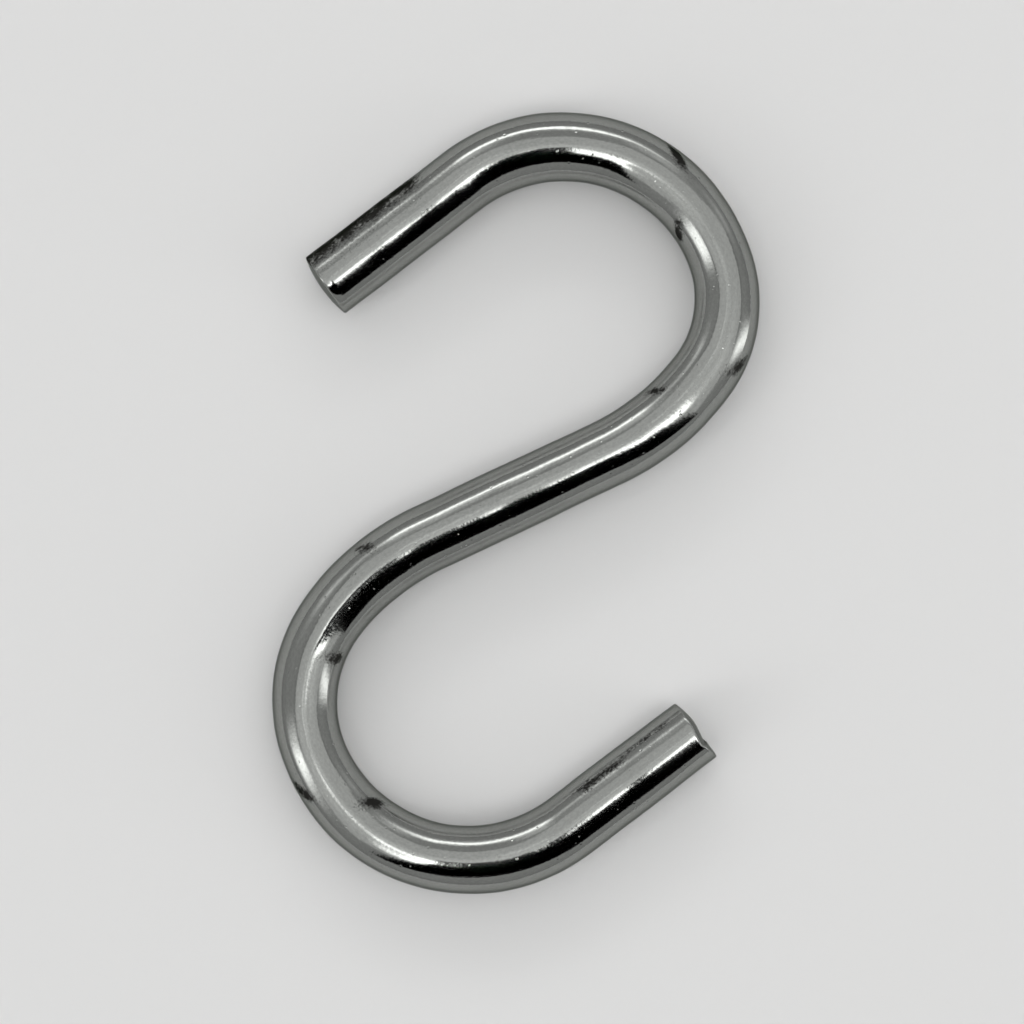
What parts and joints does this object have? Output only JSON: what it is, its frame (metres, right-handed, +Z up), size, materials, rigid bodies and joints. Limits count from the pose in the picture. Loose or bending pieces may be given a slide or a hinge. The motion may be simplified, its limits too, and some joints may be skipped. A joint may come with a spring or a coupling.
{
  "type": "s hook",
  "caption": "S-shaped hook bent from round bright-plated steel wire, with open bights and cropped legs, for hanging a ring, chain or pot from a bar.",
  "frame": {"origin": "middle of the hook's outline, on the surface it lies on", "axes": "+Y along the line through both crowns, towards the upper hook; +Z up out of the flat of the hook; +X across it, towards the lower hook's leg"},
  "size_m": [0.0454, 0.0694, 0.006],
  "materials": {
    "plated_wire": "bright plated steel wire with fine drawing lines along it and matt cropped ends"
  },
  "bodies": {
    "root": {"hook": "plated_wire"}
  },
  "joints": []
}
